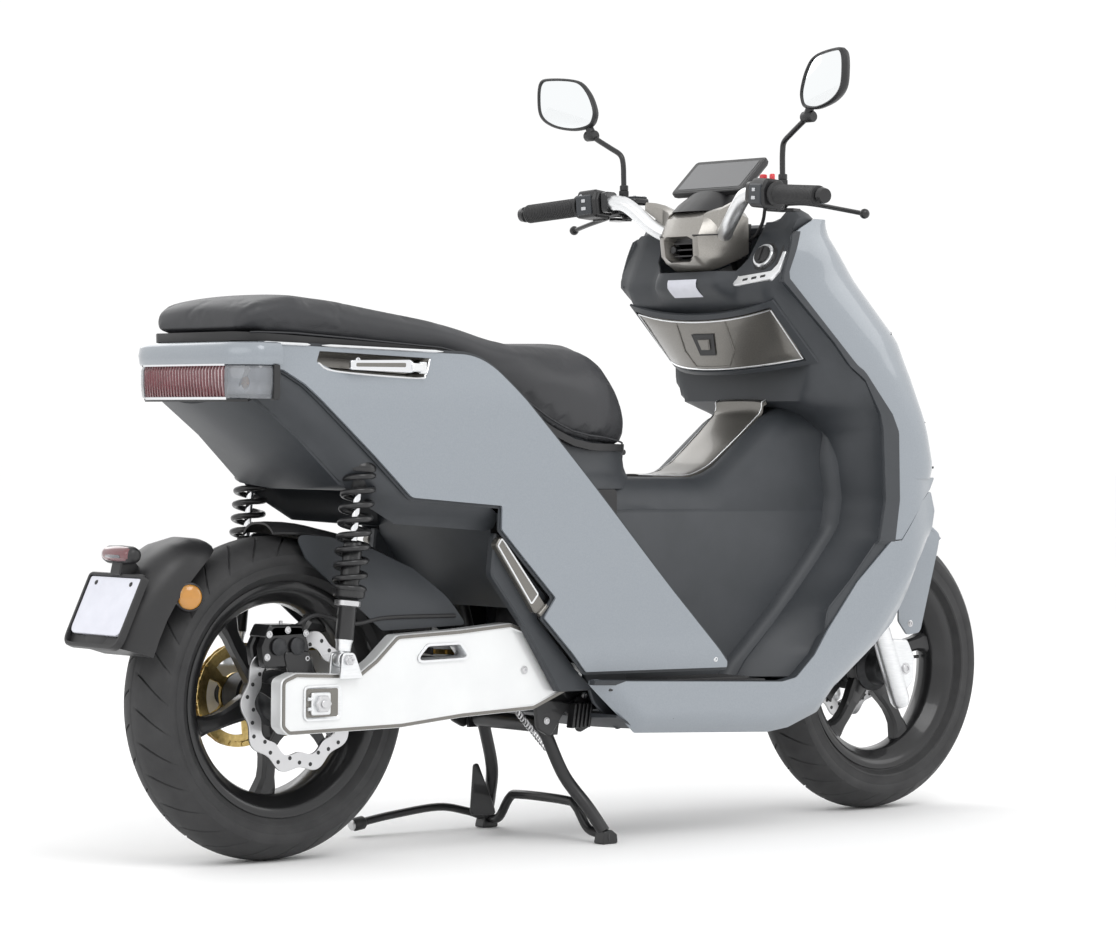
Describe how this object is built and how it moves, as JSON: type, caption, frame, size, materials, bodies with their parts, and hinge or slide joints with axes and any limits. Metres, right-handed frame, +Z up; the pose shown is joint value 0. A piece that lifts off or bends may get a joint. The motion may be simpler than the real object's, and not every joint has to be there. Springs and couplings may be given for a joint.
{
  "type": "moped scooter",
  "caption": "Electric step-through moped scooter with sprung fork and swingarm, centre stand, lift-up seat, glovebox and folding passenger pegs.",
  "frame": {"origin": "on the ground under the middle of the scooter's length and width", "axes": "+X forward, +Y to the rider's left, +Z up"},
  "size_m": [1.9949, 0.8074, 1.356],
  "materials": {
    "paint": "gloss blue-grey paint",
    "satin_plastic": "satin dark grey moulded plastic",
    "trim_metallic": "satin metallic taupe",
    "silver": "bright satin aluminium",
    "black_metal": "satin black coated steel",
    "black_alloy": "satin black painted aluminium",
    "steel": "machined steel",
    "chrome": "polished chrome",
    "gold_chain": "gold-coloured plated steel",
    "tyre": "tyre rubber",
    "rubber": "moulded rubber",
    "vinyl": "charcoal seat vinyl",
    "glass": "clear lens",
    "red_lens": "red lens",
    "screen": "black display glass",
    "mirror": "mirror glass and black housing",
    "plate_white": "blank white plate",
    "red_plastic": "red button plastic"
  },
  "bodies": {
    "chassis": {"main_frame": "black_metal", "battery_pack": "satin_plastic", "motor_case": "black_alloy", "side_panels": "paint", "under_tail": "satin_plastic", "floor_tunnel": "satin_plastic", "leg_shield": "satin_plastic", "front_panel": "paint", "lower_fairings": "paint", "storage_bin": "satin_plastic", "headlight": "glass", "tail_light": "red_lens"},
    "seat": {"seat": "vinyl"},
    "stand": {"stand": "black_metal"},
    "footpeg_left": {"footpeg_left": "trim_metallic"},
    "footpeg_right": {"footpeg_right": "trim_metallic"},
    "grab_handle_left": {"grab_handle_left": "silver"},
    "grab_handle_right": {"grab_handle_right": "silver"},
    "glovebox_door": {"glovebox_door": "trim_metallic"},
    "glovebox_latch": {"glovebox_latch": "silver"},
    "start_knob": {"start_knob": "satin_plastic"},
    "steering": {"steering_stem": "chrome", "handlebar": "silver", "headset_cover": "trim_metallic", "display": "screen", "brake_masters": "black_alloy", "switch_pods": "satin_plastic"},
    "throttle": {"grip_throttle": "rubber"},
    "brake_lever_left": {"brake_lever_left": "black_metal"},
    "brake_lever_right": {"brake_lever_right": "black_metal"},
    "mirror_stem_left": {"mirror_stem_left": "black_metal"},
    "mirror_stem_right": {"mirror_stem_right": "black_metal"},
    "mirror_head_left": {"mirror_head_left": "mirror"},
    "mirror_head_right": {"mirror_head_right": "mirror"},
    "button_horn": {"button_horn": "silver"},
    "button_beam": {"button_beam": "silver"},
    "button_stop": {"button_stop": "red_plastic"},
    "button_hazard": {"button_hazard": "red_plastic"},
    "fork_lowers": {"fork_lowers": "silver", "front_caliper": "black_alloy", "front_fender": "paint"},
    "front_wheel": {"front_tyre": "tyre", "front_rim": "black_alloy", "front_disc": "steel"},
    "swingarm": {"swingarm": "silver", "rear_caliper": "black_alloy", "chain": "gold_chain", "rear_hugger": "satin_plastic", "number_plate": "plate_white"},
    "rear_wheel": {"rear_tyre": "tyre", "rear_rim": "black_alloy", "rear_disc": "steel", "rear_sprocket": "gold_chain"},
    "motor_sprocket": {"motor_sprocket": "steel"},
    "shock_upper_left": {"shock_upper_left": "chrome", "shock_spring_left": "black_metal"},
    "shock_upper_right": {"shock_upper_right": "chrome", "shock_spring_right": "black_metal"},
    "shock_lower_left": {"shock_lower_left": "black_metal"},
    "shock_lower_right": {"shock_lower_right": "black_metal"}
  },
  "joints": [
    {"name": "steering_turn", "type": "hinge", "parent": "chassis", "child": "steering", "pos_m": [0.4849, 0, 0.78], "axis": [-0.3907, 0, 0.9205], "range_deg": [-30, 30]},
    {"name": "fork_travel", "type": "slide", "parent": "steering", "child": "fork_lowers", "axis": [-0.3907, 0, 0.9205], "range_m": [0, 0.06], "stiffness_N_per_m": 9000, "springref_m": -0.03},
    {"name": "front_wheel_spin", "type": "hinge", "parent": "fork_lowers", "child": "front_wheel", "pos_m": [0.7325, 0, 0.265], "axis": [0, 1, 0], "continuous": true},
    {"name": "swingarm_pivot", "type": "hinge", "parent": "chassis", "child": "swingarm", "pos_m": [-0.1405, 0, 0.289], "axis": [0, 1, 0], "range_deg": [0, 6], "stiffness_Nm_per_rad": 2600, "springref_deg": -4.01},
    {"name": "rear_wheel_spin", "type": "hinge", "parent": "swingarm", "child": "rear_wheel", "pos_m": [-0.6575, 0, 0.262], "axis": [0, 1, 0], "continuous": true},
    {"name": "motor_sprocket_spin", "type": "hinge", "parent": "chassis", "child": "motor_sprocket", "pos_m": [-0.1405, 0, 0.289], "axis": [0, 1, 0], "continuous": true},
    {"name": "shock_swing_left", "type": "hinge", "parent": "chassis", "child": "shock_upper_left", "pos_m": [-0.5795, 0.145, 0.668], "axis": [0, 1, 0], "range_deg": [-2, 2]},
    {"name": "shock_travel_left", "type": "slide", "parent": "shock_upper_left", "child": "shock_lower_left", "axis": [0.1059, 0, 0.9944], "range_m": [0, 0.052], "deforming": ["shock_spring_left"]},
    {"name": "shock_swing_right", "type": "hinge", "parent": "chassis", "child": "shock_upper_right", "pos_m": [-0.5795, -0.145, 0.668], "axis": [0, 1, 0], "range_deg": [-2, 2]},
    {"name": "shock_travel_right", "type": "slide", "parent": "shock_upper_right", "child": "shock_lower_right", "axis": [0.1059, 0, 0.9944], "range_m": [0, 0.052], "deforming": ["shock_spring_right"]},
    {"name": "seat_lid", "type": "hinge", "parent": "chassis", "child": "seat", "pos_m": [0.0945, 0, 0.662], "axis": [0, 1, 0], "range_deg": [0, 58]},
    {"name": "centre_stand", "type": "hinge", "parent": "chassis", "child": "stand", "pos_m": [-0.1385, 0, 0.2], "axis": [0, 1, 0], "range_deg": [0, 72]},
    {"name": "footpeg_fold_left", "type": "hinge", "parent": "chassis", "child": "footpeg_left", "pos_m": [-0.2255, 0.18, 0.4], "axis": [-0.7507, 0, -0.6606], "range_deg": [0, 90]},
    {"name": "grab_handle_fold_left", "type": "hinge", "parent": "chassis", "child": "grab_handle_left", "pos_m": [-0.4775, 0.184, 0.797], "axis": [0, 0, -1], "range_deg": [0, 60]},
    {"name": "footpeg_fold_right", "type": "hinge", "parent": "chassis", "child": "footpeg_right", "pos_m": [-0.2255, -0.18, 0.4], "axis": [0.7507, 0, 0.6606], "range_deg": [0, 90]},
    {"name": "grab_handle_fold_right", "type": "hinge", "parent": "chassis", "child": "grab_handle_right", "pos_m": [-0.4775, -0.184, 0.797], "axis": [0, 0, 1], "range_deg": [0, 60]},
    {"name": "glovebox_hinge", "type": "hinge", "parent": "chassis", "child": "glovebox_door", "pos_m": [0.388, 0, 0.8245], "axis": [0, -1, 0], "range_deg": [0, 80]},
    {"name": "glovebox_latch_pull", "type": "hinge", "parent": "glovebox_door", "child": "glovebox_latch", "pos_m": [0.32509, 0, 0.88602], "axis": [0, 1, 0], "range_deg": [0, 35], "stiffness_Nm_per_rad": 0.05, "springref_deg": -5.73},
    {"name": "start_knob_turn", "type": "hinge", "parent": "chassis", "child": "start_knob", "pos_m": [0.3085, -0.158, 1.004], "axis": [-0.9023, 0, 0.4311], "range_deg": [-90, 0]},
    {"name": "throttle_turn", "type": "hinge", "parent": "steering", "child": "throttle", "pos_m": [0.2475, -0.17, 1.116], "axis": [-0.1647, -0.9836, -0.0732], "range_deg": [0, 65], "stiffness_Nm_per_rad": 0.15, "springref_deg": -17.19},
    {"name": "brake_lever_pull_left", "type": "hinge", "parent": "steering", "child": "brake_lever_left", "pos_m": [0.2885, 0.214, 1.1], "axis": [0, 0, 1], "range_deg": [0, 14], "stiffness_Nm_per_rad": 2, "springref_deg": -8.59},
    {"name": "mirror_stem_turn_left", "type": "hinge", "parent": "steering", "child": "mirror_stem_left", "pos_m": [0.2945, 0.207, 1.128], "axis": [0, 0, 1], "range_deg": [-25, 25]},
    {"name": "mirror_tilt_left", "type": "hinge", "parent": "mirror_stem_left", "child": "mirror_head_left", "pos_m": [0.2805, 0.282, 1.244], "axis": [0, 1, 0], "range_deg": [-12, 12]},
    {"name": "brake_lever_pull_right", "type": "hinge", "parent": "steering", "child": "brake_lever_right", "pos_m": [0.2885, -0.214, 1.1], "axis": [0, 0, -1], "range_deg": [0, 14], "stiffness_Nm_per_rad": 2, "springref_deg": -8.59},
    {"name": "mirror_stem_turn_right", "type": "hinge", "parent": "steering", "child": "mirror_stem_right", "pos_m": [0.2945, -0.207, 1.128], "axis": [0, 0, 1], "range_deg": [-25, 25]},
    {"name": "mirror_tilt_right", "type": "hinge", "parent": "mirror_stem_right", "child": "mirror_head_right", "pos_m": [0.2805, -0.282, 1.244], "axis": [0, 1, 0], "range_deg": [-12, 12]},
    {"name": "button_horn_press", "type": "slide", "parent": "steering", "child": "button_horn", "axis": [1, 0, 0], "range_m": [0, 0.003], "stiffness_N_per_m": 300, "springref_m": -0.002},
    {"name": "button_beam_press", "type": "slide", "parent": "steering", "child": "button_beam", "axis": [1, 0, 0], "range_m": [0, 0.003], "stiffness_N_per_m": 300, "springref_m": -0.002},
    {"name": "button_stop_press", "type": "slide", "parent": "steering", "child": "button_stop", "axis": [0, 0, -1], "range_m": [0, 0.003], "stiffness_N_per_m": 300, "springref_m": -0.002},
    {"name": "button_hazard_press", "type": "slide", "parent": "steering", "child": "button_hazard", "axis": [0, 0, -1], "range_m": [0, 0.003], "stiffness_N_per_m": 300, "springref_m": -0.002}
  ],
  "couplings": [
    {"joint": "motor_sprocket_spin", "follows": "rear_wheel_spin", "ratio": 3.3333},
    {"joint": "shock_swing_left", "follows": "swingarm_pivot", "ratio": -0.053149},
    {"joint": "shock_travel_left", "follows": "swingarm_pivot", "m_per_rad": 0.47626},
    {"joint": "shock_swing_right", "follows": "swingarm_pivot", "ratio": -0.053149},
    {"joint": "shock_travel_right", "follows": "swingarm_pivot", "m_per_rad": 0.47626}
  ]
}
